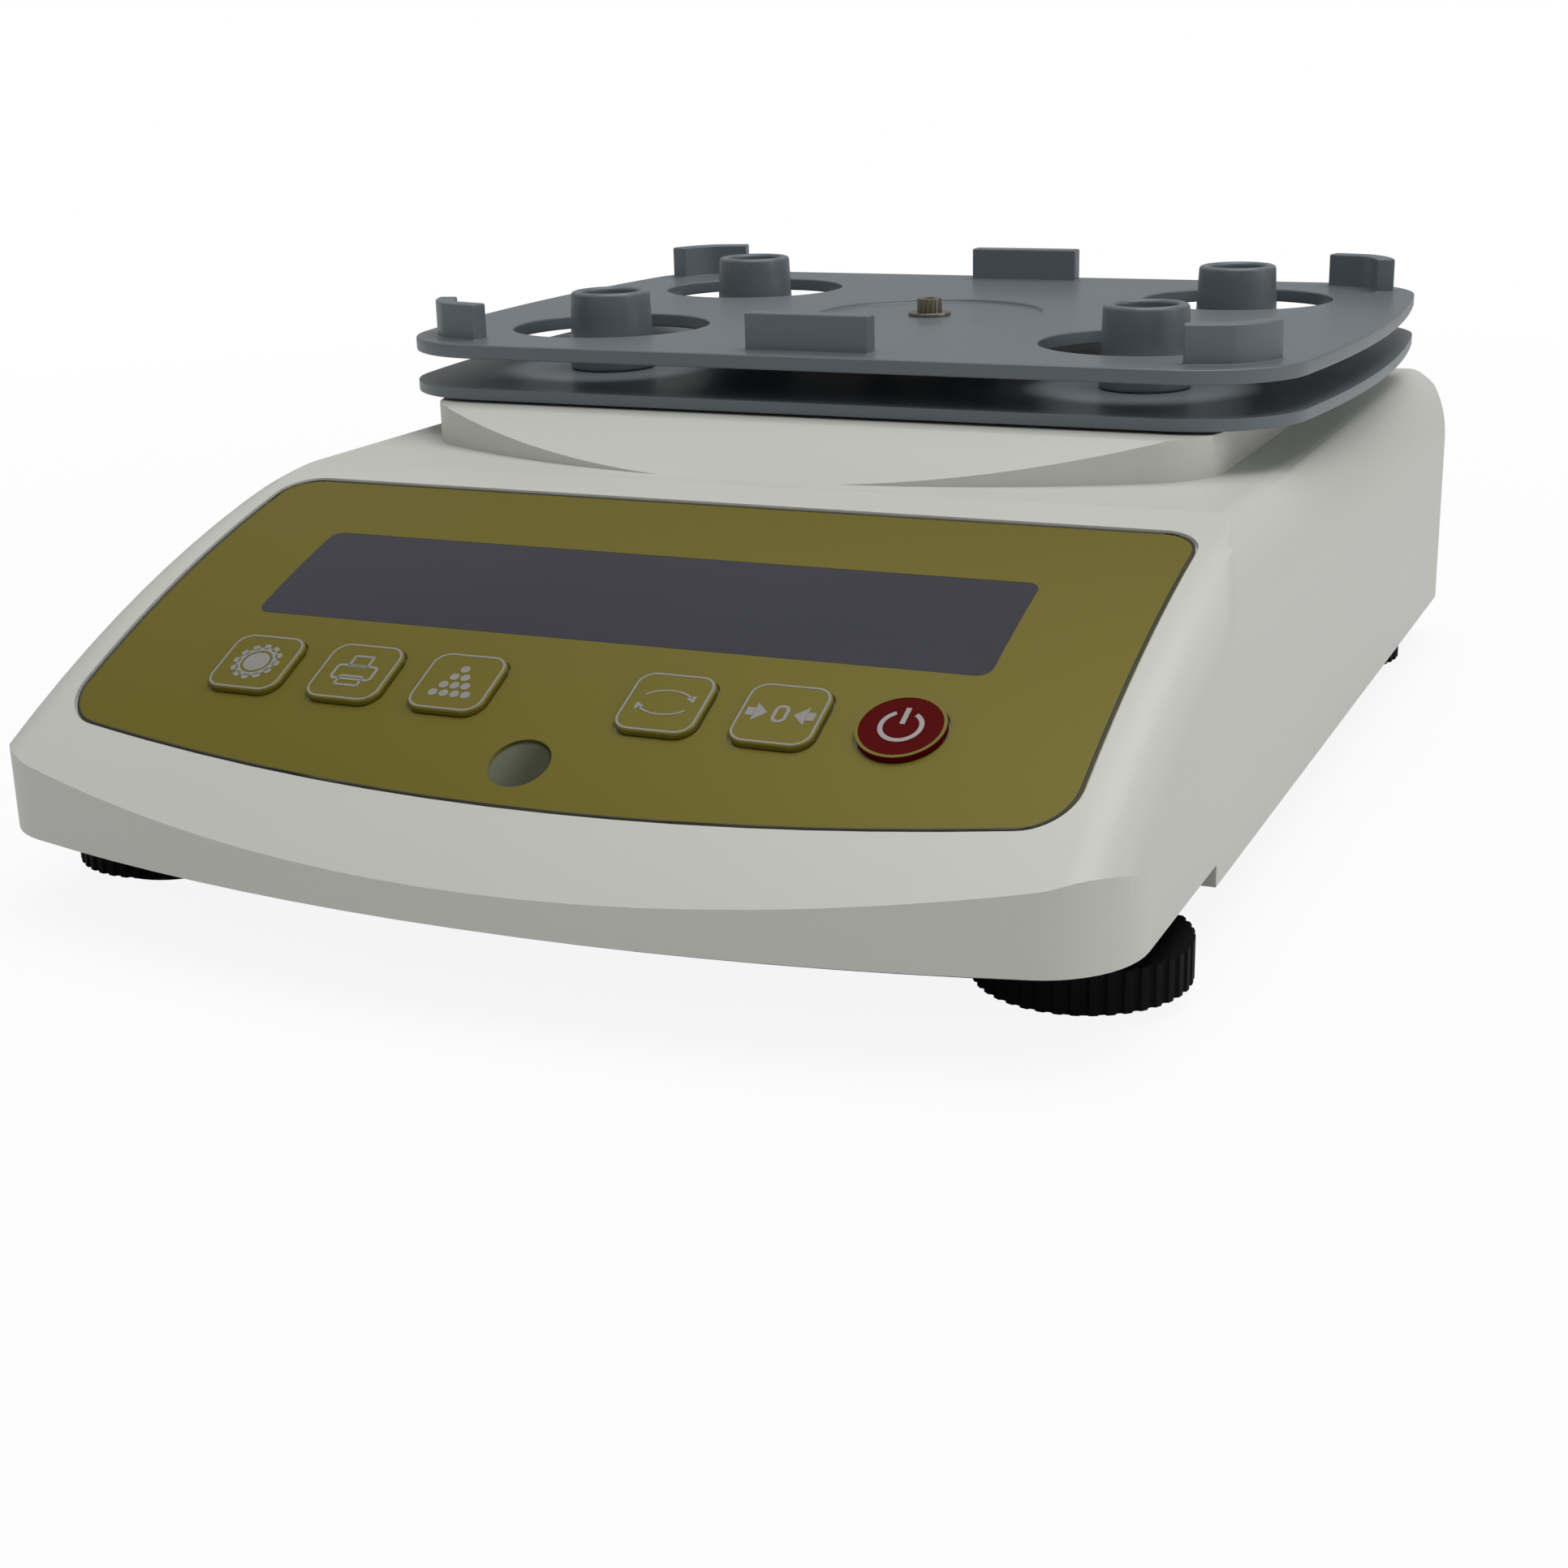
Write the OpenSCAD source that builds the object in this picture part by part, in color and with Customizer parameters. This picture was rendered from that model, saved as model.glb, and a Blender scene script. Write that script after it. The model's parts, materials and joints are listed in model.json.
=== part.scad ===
// Benchtop density meter: an electronic balance base with a water-tank plate on four posts
// and a weighing plate above it. Millimetres, +Z up, origin under the middle of the footprint.

/* [Housing] */
// Overall width of the housing
body_w = 206; // [200:1:212]
// Overall depth of the housing
body_d = 298; // [296:1:306]
// Height of the flat rear deck
deck_z = 64.2; // [63:0.2:68]
// Wall thickness of the moulded cover
wall = 2.5; // [2.2:0.1:2.8]
// How far the middle of the front wall is ahead of its ends
front_bulge = 15; // [12:1:16]
// Plan radius of the four housing corners
corner_r = 17; // [14:1:20]
// Radius of the curved control deck, about a crosswise axis
deck_r = 290; // [286:1:300]
// Angle at which the curved deck leaves the flat one, in degrees
deck_lean = 10.13; // [9.6:0.1:10.4]
// Distance from the platform's middle forward to the end of the flat deck
deck_run = 102.7; // [101.5:0.1:103.5]
// Height of the curved shoulder along each side
shoulder_h = 18.6; // [17:0.2:20]
// Round where the shoulder leaves the deck
shoulder_r = 5; // [4.5:0.1:5.5]
// Angle at which that round gives way to the shoulder's long curve, in degrees
shoulder_a = 48; // [46:1:50]
// Radius of the curved deck's round edge down to the sides
deck_edge_r = 9; // [8:0.5:10]
// Height of the cover's lower edge along the sides
skirt_z = 10.6; // [10.5:0.1:11.2]
// How much higher the lower edge is round the front corners
front_lift = 3.9; // [3:0.1:4.2]
// Distance from the front of the housing to the step in its lower edge
lift_d = 68; // [66:1:74]

/* [Platform] */
// Distance from the rear of the housing to the middle of the platform
platform_back = 86.3; // [85:0.1:87]
// Width of both plates at their middle
plate_w = 200.6; // [198:0.2:202]
// Depth of both plates
plate_d = 150; // [148:1:152]
// Plan radius of the plates' corners
plate_r = 22.5; // [21:0.5:24]
// Plan radius of the plates' bowed sides
plate_side_r = 410; // [380:10:450]
// Thickness of the weighing plate
weigh_t = 2.9; // [2.6:0.1:3.4]
// Thickness of the tank plate
tank_t = 2.3; // [2:0.1:2.8]
// Free gap between the two plates
plate_gap = 6.2; // [5.6:0.1:7.5]
// Width of the raised podium under the plates
podium_w = 168; // [164:1:172]
// Height of the podium above the deck
podium_h = 7.8; // [7:0.1:8.4]
// Radius of the podium's corners
podium_c = 18; // [14:1:22]
// How far the middle of the podium's front wall is ahead of its ends
podium_bulge = 24; // [21:1:26]
// Distance from the platform's middle to the podium's front corners
podium_front = 76.7; // [74:0.1:78]
// Slope of the ramp in front of the plates, rise over run
ramp_slope = 0.42; // [0.38:0.01:0.46]

/* [Posts and lugs] */
// Distance between posts, side to side
post_dx = 120; // [116:0.5:123]
// Distance between posts, front to back
post_dy = 75.6; // [72:0.2:78]
// Radius of a post at its top
post_r = 8.55; // [8:0.05:9]
// Extra radius of a post at its foot, from draft
post_draft = 0.75; // [0.4:0.05:1.2]
// Radius of the socket down each post
socket_r = 6.35; // [5.5:0.05:6.7]
// Height of a post above the weighing plate
post_rise = 7.5; // [6:0.1:9]
// Radius of the weighing plate's clearance holes round the posts
clear_r = 21.4; // [20:0.2:22]
// Height of the locating lugs
lug_h = 7.5; // [6:0.1:7.5]
// Thickness of the locating lugs
lug_t = 4; // [3.4:0.2:4.6]
// Length of the two middle lugs
lug_w = 26.5; // [24:0.5:29]
// Length of the straight leg of a corner lug
lug_leg = 8.6; // [7.4:0.2:9.6]
// Inset of the middle lugs' outer faces from the plate's edge
lug_inset = 5.4; // [5:0.2:6]
// Inset of the corner lugs' curved faces from the plate's corners
lug_corner_inset = 4.6; // [4.2:0.1:5.2]
// Radius of the shallow dish in the middle of the weighing plate
dish_r = 25; // [22:1:26]
// Depth of that dish
dish_d = 0.8; // [0.4:0.1:1.1]

/* [Control panel] */
// Width of the printed overlay
overlay_w = 183.6; // [182:0.2:184]
// Thickness of the overlay
overlay_t = 0.5; // [0.4:0.05:0.6]
// Gap round the overlay in its recess
overlay_gap = 0.5; // [0.3:0.1:0.7]
// Deck angle of the overlay's upper edge, in degrees
overlay_top_a = 12.2; // [12:0.1:13]
// Deck angle of the overlay's lower edge at the middle, in degrees
overlay_low_a = 30; // [29.8:0.1:30.2]
// How far the middle of the overlay's lower edge is ahead of its ends
overlay_bow = 7.9; // [6:0.1:9]
// Width of the display window
window_w = 139.6; // [134:0.2:142]
// Height of the display window, along the deck
window_h = 28; // [26:0.2:29]
// Deck angle of the display window's middle, in degrees
window_a = 19.2; // [19:0.1:19.4]
// Size of a square key
key_w = 14.7; // [13.6:0.1:15]
// Corner radius of a square key
key_r = 3.5; // [2.5:0.1:4]
// Pitch of the keys in each group of three
key_pitch = 20.35; // [19.8:0.05:20.8]
// Distance from the middle to the innermost key of each group
key_first = 19.5; // [18:0.1:20.5]
// Deck angle of the row of keys, in degrees
key_a = 24.9; // [24.8:0.1:25.1]
// How far a key stands proud of the deck
key_rise = 0.6; // [0.3:0.1:1]
// Play round a key in the overlay
key_gap = 0.3; // [0.2:0.05:0.4]
// Travel of a key
key_travel = 0.6; // [0.4:0.1:0.7]
// Radius of the spirit level's window
level_r = 5.4; // [4.8:0.1:5.6]
// Deck angle of the spirit level, in degrees
level_a = 28.1; // [28:0.1:28.2]

/* [Feet] */
// Sideways distance between the front feet
foot_dx = 175.2; // [172:0.2:177]
// Sideways distance between the rear feet
rear_foot_dx = 164; // [160:0.2:170]
// Distance from the end of the housing to its nearest feet
foot_in = 45; // [44:1:48]
// Radius of a foot's knurled wheel
wheel_r = 17.5; // [16:0.5:18.5]
// Height of the knurled wheel
wheel_h = 7.1; // [6.5:0.1:7.2]
// Number of grooves round a wheel
knurls = 40; // [30:1:46]
// Radius of the rubber pad under a foot
pad_r = 12; // [10:0.5:13]
// Thickness of that pad
pad_t = 2.4; // [2:0.1:2.5]
// Radius of a foot's threaded stud
stud_r = 4; // [3.5:0.5:4.5]
// Running clearance between stud and boss
stud_play = 0.05; // [0.03:0.01:0.08]
// Free height between a wheel's hub and the base
hub_gap = 1.2; // [1:0.1:1.4]

/* [Inside] */
// How far the base tray's underside is above the cover's side edges
tray_rise = 2.5; // [2.4:0.1:2.8]
// Thickness of the base tray's floor
floor_t = 2.5; // [2.2:0.1:2.6]
// Height of the tray's rim above its floor
rim_h = 3; // [2:0.1:3.2]
// Gap between the base tray and the cover
tray_gap = 0.6; // [0.5:0.1:0.9]
// Length of the load cell
cell_l = 130; // [126:1:134]
// Width of the load cell
cell_w = 30; // [26:1:32]
// Height of the load cell
cell_h = 22; // [20:1:23]
// Thickness of the spacer under the load cell's fixed end
spacer_t = 5; // [4.5:0.5:6]
// Gap over the overload stop, a little more than the platform's travel
stop_gap = 0.8; // [0.6:0.1:1]
// Radius of the hub that carries the weighing plate
hub_r = 15; // [13:0.5:16]
// Running space round the hub where it passes the cover
hub_play = 3; // [2:0.5:4]
// Thickness of a circuit board
board_t = 1.6; // [1.4:0.1:1.8]

/* [Hidden] */
$fn = 48;

// What the driving sizes lead to
over_cut = 1;                                 // how far a cutter runs past what it cuts
front_y = -body_d / 2;
back_y = body_d / 2;
half_w = body_w / 2;
plat_y = back_y - platform_back;
deck_y = plat_y - deck_run;                   // end of the flat deck
axis_y = deck_y + deck_r * sin(deck_lean);    // the curved deck's axis
axis_z = deck_z - deck_r * cos(deck_lean);
podium_top = deck_z + podium_h;
shoulder_end = 4;                             // lean left at the foot of the shoulder, in degrees
deck_edge_end = 8;                            // and at the foot of the curved deck's round edge
seat_t = 0.6;                                 // raised seats under the tank plate
seat_r = 12;
tank_z = podium_top + seat_t;
tank_top = tank_z + tank_t;
weigh_z = tank_top + plate_gap;
weigh_top = weigh_z + weigh_t;
post_top = weigh_top + post_rise;
tray_z = skirt_z + tray_rise;
floor_top = tray_z + floor_t;
tray_in = wall + tray_gap;
tray_wall = 2;
cell_z = floor_top + spacer_t;
cell_top = cell_z + cell_h;
wheel_z = pad_t;
wheel_top = wheel_z + wheel_h;
hub_top = tray_z - hub_gap;
boss_r = 8;
boss_h = 14;
stud_top = tray_z + boss_h + 4;
foot_x = foot_dx / 2;
rear_foot_x = rear_foot_dx / 2;
foot_spots = [[-foot_x, front_y + foot_in], [foot_x, front_y + foot_in],
    [-rear_foot_x, back_y - foot_in], [rear_foot_x, back_y - foot_in]];
post_spots = [for (x = [-1, 1], y = [-1, 1]) [x * post_dx / 2, plat_y + y * post_dy / 2]];
case_spots = [[-half_w + 24, front_y + 26], [half_w - 24, front_y + 26],
    [-half_w + 16, back_y - 16], [half_w - 16, back_y - 16]];
case_r = 4.5;
case_pilot = 1.5;
case_grip = 9;                                // how deep a case screw goes into its boss
screw_r = 1.6;                                // the tank screws and the holes they pass
screw_hole = 1.7;
screw_grip = 4;
head_r = 2.8;
head_h = 2;
head_seat = 3;                                // height of a tank screw's seat in its post
socket_floor = head_seat + head_h + 0.2;
key_spots = [-key_first - 2 * key_pitch, -key_first - key_pitch, -key_first,
    key_first, key_first + key_pitch, key_first + 2 * key_pitch];
recess_d = overlay_t + 0.3;
key_seat = recess_d - 0.05;                   // underside of a key cap below the deck
pocket_d = recess_d + key_travel + 0.1;
plunger_r = 3;
switch_top = 5.6;                             // top of a switch's button below the deck
switch_w = 6;
board_drop = 11;                              // middle of the display board below the deck
board_w = window_w + 12;
board_d = 54;
board_shift = -9;
lcd_t = 3.5;
level_depth = 8;
cell_screw_r = 2.5;
cell_hole_r = 2.6;
cell_head_r = 4.2;
cell_head_h = 3.4;
cell_marks = [8, 22];                         // screws' distances from each end of the load cell
cell_pad = 30;                                // length of the load cell's clamped ends
web_x = 13;                                   // the thin webs that flex
web_t = 3;
slit = 0.1;
arm_t = 5;
arm_rise = 4;
lug_turn_a = 56;                              // where a corner lug turns, as an angle round the corner
lug_end_a = 13;                               // and where it ends
lug_lean = 14;                                // lean of its straight leg
plate_screw_r = 1.5;
plate_screw_l = 12;
main_y = front_y + 92;
main_z = floor_top + 6;
main_marks = [49, 25];
jack_spot = [-50, 34];                        // sideways place and height of the power socket
port_spot = [40, 34];                         // and of the serial port
socket_in = 0.4;                              // how far the sockets sit inside the rear wall

// ---- outlines ----

// A round-cornered outline whose front is bowed: half width, front, rear, bow and corner radii,
// all moved inwards by inset
module bowed(hw, front, back, bow, front_c, back_c, inset) {
    r = (pow(hw, 2) + pow(bow, 2)) / (2 * bow);
    mid = front + r;
    a = asin((hw - front_c) / (r - front_c));
    cx = hw - front_c;
    cy = mid - (r - front_c) * cos(a);
    far = r + 5;
    translate([inset - hw, cy]) square([2 * (hw - inset), back - back_c - cy]);
    translate([back_c - hw, cy]) square([2 * (hw - back_c), back - inset - cy]);
    for (s = [-1, 1]) {
        translate([s * cx, cy]) circle(r = front_c - inset);
        translate([s * (hw - back_c), back - back_c]) circle(r = back_c - inset);
    }
    intersection() {
        translate([0, mid]) circle(r = r - inset, $fn = 360);
        polygon([[-cx, cy + over_cut], [-cx, cy], [-far * sin(a), mid - far * cos(a)], [0, front - 20],
            [far * sin(a), mid - far * cos(a)], [cx, cy], [cx, cy + over_cut]]);
    }
}

module plan(inset) bowed(half_w, front_y, back_y, front_bulge, corner_r, corner_r, inset);

module podium_plan(inset)
    bowed(podium_w / 2, plat_y - podium_front - podium_bulge, back_y - corner_r - 7, podium_bulge,
        podium_c, podium_c, inset);

// Points of an arc about c from angle a to angle b
function arc(c, r, a, b, n) = [for (i = [0:n]) c + r * [cos(a + (b - a) * i / n), sin(a + (b - a) * i / n)]];

// One side of the housing's fixed side profile, depth measured down from the flat deck: a tight
// round, then a long curve that ends almost upright
function shoulder(inset, low) =
    let (long_r = shoulder_r + (shoulder_h - shoulder_r) / sin(shoulder_a))
    let (c1 = [half_w - long_r * (1 - cos(shoulder_a)) - shoulder_r * cos(shoulder_a), -shoulder_r])
    let (c2 = c1 + (shoulder_r - long_r) * [cos(shoulder_a), sin(shoulder_a)])
    let (upper = arc(c1, shoulder_r - inset, 90, shoulder_a, 4))
    let (lower = arc(c2, long_r - inset, shoulder_a, shoulder_end, 7), last = lower[7])
    let (run = low + last[1])
    concat(upper, [for (i = [1:7]) lower[i]], [last + run * [tan(shoulder_end), -1]]);

// One side of the curved deck's own section: a plain round down to the side
function deck_edge(inset, low) =
    let (round = arc([half_w - deck_edge_r, -deck_edge_r], deck_edge_r - inset, 90, deck_edge_end, 7))
    let (last = round[7], run = low + last[1])
    concat(round, [last + run * [tan(deck_edge_end), -1]]);

// A whole section from one side of it
module section(side) {
    last = len(side) - 1;
    polygon(concat(side, [for (i = [last:-1:0]) [-side[i][0], side[i][1]]]));
}

// Middle of a plate's corner, found from the bowed side it meets
plate_corner = let (y = plate_d / 2 - plate_r)
    [sqrt(pow(plate_side_r - plate_r, 2) - y * y) - plate_side_r + plate_w / 2, y];

// Outline of both plates: straight front and rear, bowed sides and round corners
module plate_plan() {
    side_c = plate_side_r - plate_w / 2;
    far = plate_side_r + 5;
    a = asin(plate_corner[1] / (plate_side_r - plate_r));
    square([2 * plate_corner[0], plate_d], center = true);
    for (x = [-1, 1], y = [-1, 1]) translate([x * plate_corner[0], y * plate_corner[1]]) circle(r = plate_r);
    for (m = [0, 1]) mirror([m, 0]) intersection() {
        translate([-side_c, 0]) circle(r = plate_side_r, $fn = 360);
        polygon([[plate_corner[0] - over_cut, -plate_corner[1]], plate_corner - [0, 2 * plate_corner[1]],
            [far * cos(a) - side_c, -far * sin(a)], [plate_w / 2 + 20, 0],
            [far * cos(a) - side_c, far * sin(a)], plate_corner,
            [plate_corner[0] - over_cut, plate_corner[1]]]);
    }
}

// A rectangle with round corners
module round_rect(w, d, r) {
    square([w - 2 * r, d], center = true);
    square([w, d - 2 * r], center = true);
    for (x = [-1, 1], y = [-1, 1]) translate([x * (w / 2 - r), y * (d / 2 - r)]) circle(r = r);
}

// Puts its children on the curved deck at angle a, with Z square to the surface
module on_deck(a, x = 0) {
    translate([x, axis_y, axis_z]) rotate([a, 0, 0]) translate([0, 0, deck_r]) children();
}

// ---- housing ----

// The curved control deck, spun about its axis, with round edges down to the sides
module curved_form(inset) {
    intersection() {
        translate([0, axis_y, axis_z]) rotate([0, 90, 0]) rotate_extrude($fn = 180)
            translate([deck_r, 0]) rotate([0, 0, -90]) section(deck_edge(inset, 70));
        translate([-body_w, front_y - over_cut, 0])
            cube([2 * body_w, deck_y - front_y + over_cut + 0.5, deck_z - inset]);
    }
}

// The flat deck, with a curved shoulder along the rear
module flat_form(inset)
    translate([0, back_y - half_w, deck_z]) rotate([90, 0, 90]) linear_extrude(2 * body_w, center = true)
        intersection() {
            union() {
                section(shoulder(inset, deck_z));
                translate([deck_y - back_y, -deck_z]) square([back_y - deck_y, deck_z - inset]);
            }
            translate([deck_y - back_y + half_w, -2 * deck_z]) square([body_d, 3 * deck_z]);
        }

// Solid that fills the housing, moved inwards by inset: both decks, inside one side profile
module housing_form(inset, low) {
    intersection() {
        translate([0, 0, low]) linear_extrude(deck_z + 5 - low) plan(inset);
        translate([0, 0, deck_z]) rotate([90, 0, 0])
            linear_extrude(body_d + 2 * over_cut, center = true) section(shoulder(inset, deck_z));
        union() {
            curved_form(inset);
            flat_form(inset);
        }
    }
}

// Solid that fills the podium, with the ramp cut across its front
module podium_form(inset) {
    ramp_y = plat_y - plate_d / 2 - 6;
    ramp_run = 50;
    low = deck_z - 10;
    top = podium_top - inset;
    intersection() {
        translate([0, 0, low]) linear_extrude(top - low) podium_plan(inset);
        rotate([90, 0, 90]) linear_extrude(body_w, center = true)
            polygon([[back_y, low], [back_y, top], [ramp_y, top],
                [ramp_y - ramp_run, top - ramp_run * ramp_slope], [ramp_y - ramp_run, low]]);
    }
}

module top_cover() color([0.86, 0.87, 0.84]) {
    difference() {
        union() {
            housing_form(0, skirt_z);
            podium_form(0);
            for (p = post_spots)
                translate([p[0], p[1], podium_top - wall]) cylinder(r = seat_r, h = wall + seat_t);
        }
        difference() {
            union() {
                housing_form(wall, skirt_z - over_cut);
                podium_form(wall);
            }
            for (p = case_spots)
                translate([p[0], p[1], floor_top + 0.3]) cylinder(r = case_r, h = deck_z);
            // posts that carry the display board
            for (x = [-1, 1], y = [14, -31]) on_deck(window_a, x * (board_w / 2 - 3))
                translate([0, y, board_t / 2 - board_drop]) cylinder(r = 2.4, h = 7.5);
        }
        // raised lower edge round the front corners
        translate([-half_w - over_cut, front_y - over_cut, 0])
            cube([body_w + 2 * over_cut, lift_d + over_cut, skirt_z + front_lift]);
        // recess for the overlay, and pockets under the keys
        overlay_slab(deck_r - recess_d, deck_r + 5, overlay_gap);
        for (i = [0:4]) on_deck(key_a, key_spots[i]) translate([0, 0, -pocket_d])
            linear_extrude(10) key_outline(key_gap);
        on_deck(key_a, key_spots[5]) translate([0, 0, -pocket_d]) cylinder(r = key_w / 2 + key_gap, h = 10);
        // display, key plungers and spirit level
        on_deck(window_a) cube([window_w - 6, window_h - 4, 12], center = true);
        for (x = key_spots) on_deck(key_a, x) cylinder(r = plunger_r + 0.6, h = 12, center = true);
        on_deck(level_a) cylinder(r = level_r + 1.2, h = 12, center = true);
        // way through for the hub, and screw holes
        translate([0, plat_y, deck_z - 6]) cylinder(r = hub_r + hub_play, h = 20);
        for (p = post_spots) translate([p[0], p[1], deck_z - 6]) cylinder(r = screw_hole, h = 20);
        for (p = case_spots) translate([p[0], p[1], floor_top]) cylinder(r = case_pilot, h = case_grip + over_cut);
        // rear sockets
        translate([jack_spot[0], back_y, jack_spot[1]]) rotate([90, 0, 0])
            cylinder(r = 6.1, h = 12, center = true);
        translate([port_spot[0], back_y, port_spot[1]]) cube([31.4, 12, 12.6], center = true);
    }
}

module base_tray() color([0.09, 0.09, 0.1]) {
    difference() {
        union() {
            difference() {
                intersection() {
                    translate([0, 0, tray_z]) linear_extrude(floor_t + rim_h) plan(tray_in);
                    housing_form(tray_in, tray_z - over_cut);
                }
                translate([0, 0, floor_top]) linear_extrude(rim_h + over_cut) plan(tray_in + tray_wall);
            }
            for (p = foot_spots) translate([p[0], p[1], tray_z]) cylinder(r = boss_r, h = boss_h);
        }
        for (p = foot_spots) translate([p[0], p[1], tray_z - over_cut])
            cylinder(r = stud_r + stud_play, h = boss_h + 2 * over_cut);
        for (p = case_spots) translate([p[0], p[1], tray_z - over_cut]) {
            cylinder(r = 1.8, h = floor_t + 2 * over_cut);
            cylinder(r = 3.4, h = over_cut + 1.2);
        }
        for (x = cell_marks) translate([x - cell_l / 2, plat_y, tray_z - over_cut])
            cylinder(r = cell_hole_r, h = floor_t + 2 * over_cut);
    }
}

module case_screws() color([0.7, 0.7, 0.68])
    for (p = case_spots) translate([p[0], p[1], tray_z]) {
        difference() {
            cylinder(r = 3, h = 1.2);
            translate([0, 0, -0.4]) cylinder(r = 1.4, h = 1.2, $fn = 6);
        }
        translate([0, 0, 1]) cylinder(r = case_pilot - 0.05, h = floor_t + case_grip - 1);
    }

// ---- control panel ----

// Slab of the overlay's outline between two radii of the deck, made larger by grow
module overlay_slab(r_in, r_out, grow) {
    intersection() {
        translate([0, 0, 10]) linear_extrude(deck_z)
            bowed(overlay_w / 2, axis_y - deck_r * sin(overlay_low_a), axis_y - deck_r * sin(overlay_top_a),
                overlay_bow, 9, 7, -grow);
        translate([0, axis_y, axis_z]) rotate([0, 90, 0]) difference() {
            cylinder(r = r_out, h = body_w, center = true, $fn = 180);
            cylinder(r = r_in, h = body_w + 2 * over_cut, center = true, $fn = 180);
        }
    }
}

module key_outline(grow) round_rect(key_w + 2 * grow, key_w + 2 * grow, key_r + grow);

module keypad_overlay() color([0.45, 0.41, 0.15]) {
    difference() {
        overlay_slab(deck_r - recess_d, deck_r - recess_d + overlay_t, 0);
        on_deck(window_a) linear_extrude(12, center = true) round_rect(window_w, window_h, 2.5);
        for (i = [0:4]) on_deck(key_a, key_spots[i]) linear_extrude(12, center = true) key_outline(key_gap);
        on_deck(key_a, key_spots[5]) cylinder(r = key_w / 2 + key_gap, h = 12, center = true);
        on_deck(level_a) cylinder(r = level_r, h = 12, center = true);
    }
}

module display_window() color([0.2, 0.2, 0.23])
    intersection() {
        overlay_slab(deck_r - recess_d, deck_r - recess_d + overlay_t, 0);
        on_deck(window_a) linear_extrude(12, center = true) round_rect(window_w - 0.2, window_h - 0.2, 2.4);
    }

module lcd_module() color([0.15, 0.17, 0.2])
    on_deck(window_a) translate([0, 0, (board_t + lcd_t) / 2 - board_drop])
        cube([window_w - 8, window_h - 6, lcd_t], center = true);

module display_board() color([0.1, 0.35, 0.15])
    on_deck(window_a) translate([0, board_shift, -board_drop]) cube([board_w, board_d, board_t], center = true);

// A tilted switch body standing on the board, with its button up
module key_switches() color([0.2, 0.2, 0.2])
    difference() {
        for (x = key_spots) on_deck(key_a, x) {
            translate([0, 0, -switch_top - 1]) cylinder(r = 1.8, h = 1);
            translate([0, 0, -switch_top - 4]) cube([switch_w, switch_w, 6], center = true);
        }
        on_deck(window_a) translate([0, 0, -board_drop + board_t / 2 - 20]) cube([body_w, 90, 40], center = true);
    }

// A key: its cap, and the plunger that reaches down to its switch
module key_body(i) {
    plunger_low = key_travel + 0.05 - switch_top;
    on_deck(key_a, key_spots[i]) {
        translate([0, 0, -key_seat]) linear_extrude(key_rise + key_seat) children();
        translate([0, 0, plunger_low]) cylinder(r = plunger_r, h = -plunger_low);
    }
}

module square_key(i) color([0.5, 0.46, 0.18]) key_body(i) key_outline(0);
module key_set() square_key(0);
module key_print() square_key(1);
module key_enter() square_key(2);
module key_mode() square_key(3);
module key_zero() square_key(4);
module key_power() color([0.55, 0.05, 0.06]) key_body(5) circle(r = key_w / 2);

module level_vial() color([0.6, 0.75, 0.5])
    on_deck(level_a) translate([0, 0, -recess_d - level_depth]) cylinder(r = level_r + 0.8, h = level_depth - 0.08);

// ---- platform ----

module tank_plate() color([0.36, 0.4, 0.43])
    translate([0, plat_y, tank_z]) difference() {
        linear_extrude(tank_t) plate_plan();
        translate([0, 0, -over_cut]) cylinder(r = hub_r + hub_play, h = tank_t + 2 * over_cut);
        for (p = post_spots) translate([p[0], p[1] - plat_y, -over_cut])
            cylinder(r = screw_hole, h = tank_t + 2 * over_cut);
    }

module tank_posts() color([0.38, 0.42, 0.45])
    for (p = post_spots) translate([p[0], p[1], tank_top]) difference() {
        cylinder(r1 = post_r + post_draft, r2 = post_r, h = post_top - tank_top);
        translate([0, 0, socket_floor]) cylinder(r = socket_r, h = post_top - tank_top);
        translate([0, 0, head_seat]) cylinder(r = head_r + 0.4, h = socket_floor);
        translate([0, 0, -over_cut]) cylinder(r = screw_hole, h = head_seat + 2 * over_cut);
    }

module tank_screws() color([0.75, 0.74, 0.7])
    for (p = post_spots) translate([p[0], p[1], 0]) {
        translate([0, 0, tank_top + head_seat]) difference() {
            cylinder(r = head_r, h = head_h);
            translate([0, 0, 1]) cylinder(r = 1.4, h = head_h, $fn = 6);
        }
        translate([0, 0, podium_top - screw_grip])
            cylinder(r = screw_r, h = tank_top + head_seat + 0.5 - podium_top + screw_grip);
    }

// A corner lug: a straight leg, then an edge, then a leg that follows the plate's corner
module corner_lug() {
    r = plate_r - lug_corner_inset;
    turn = plate_corner + r * [cos(lug_turn_a), sin(lug_turn_a)];
    along = [-cos(lug_lean), sin(lug_lean)];
    back = [-sin(lug_lean), -cos(lug_lean)];
    polygon([turn, turn + lug_leg * along, turn + lug_leg * along + lug_t * back, turn + lug_t * back]);
    translate(plate_corner) intersection() {
        difference() {
            circle(r = r);
            circle(r = r - lug_t);
        }
        polygon([[0, 0], for (t = [0, 0.5, 1]) let (a = lug_end_a + (lug_turn_a - lug_end_a) * t)
            2 * r * [cos(a), sin(a)]]);
    }
}

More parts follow.
